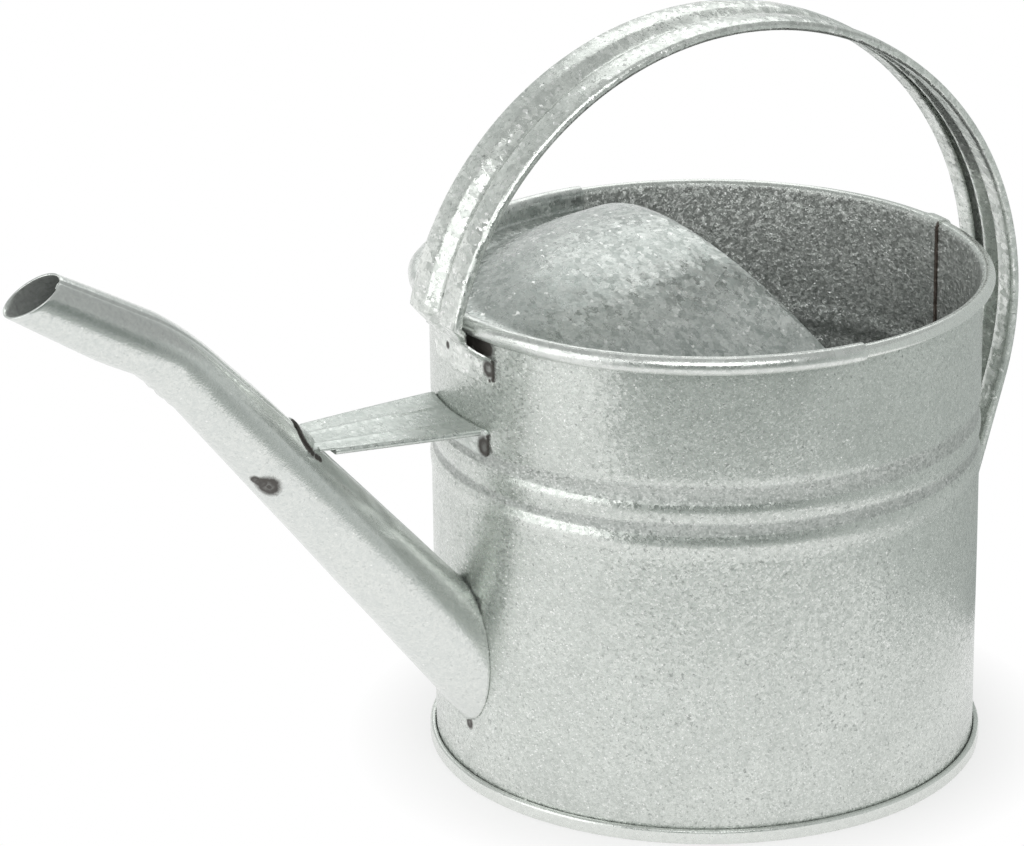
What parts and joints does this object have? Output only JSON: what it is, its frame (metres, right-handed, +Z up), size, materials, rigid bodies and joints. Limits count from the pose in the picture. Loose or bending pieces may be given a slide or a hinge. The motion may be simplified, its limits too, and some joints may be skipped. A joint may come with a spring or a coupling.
{
  "type": "galvanised watering can",
  "caption": "Galvanised sheet-steel watering can with a domed half hood over the mouth, a braced bent spout and an arched strap handle.",
  "frame": {"origin": "centre of the round base, on the ground", "axes": "+Z up; +X from the can's axis towards the spout; the brace stands off centre towards -Y at the wall"},
  "size_m": [0.3546, 0.1892, 0.248],
  "materials": {
    "wall_zinc": "hot-dip galvanised sheet steel, dull fine spangle",
    "base_zinc": "hot-dip galvanised sheet steel, dull fine spangle",
    "hood_zinc": "hot-dip galvanised sheet steel, coarse spangle",
    "spout_zinc": "hot-dip galvanised sheet steel, semi-bright",
    "brace_zinc": "hot-dip galvanised sheet steel, dull",
    "handle_zinc": "hot-dip galvanised sheet steel, coarse spangle"
  },
  "bodies": {
    "root": {"body_wall": "wall_zinc", "base": "base_zinc", "hood": "hood_zinc", "spout": "spout_zinc", "brace": "brace_zinc", "handle": "handle_zinc"}
  },
  "joints": []
}
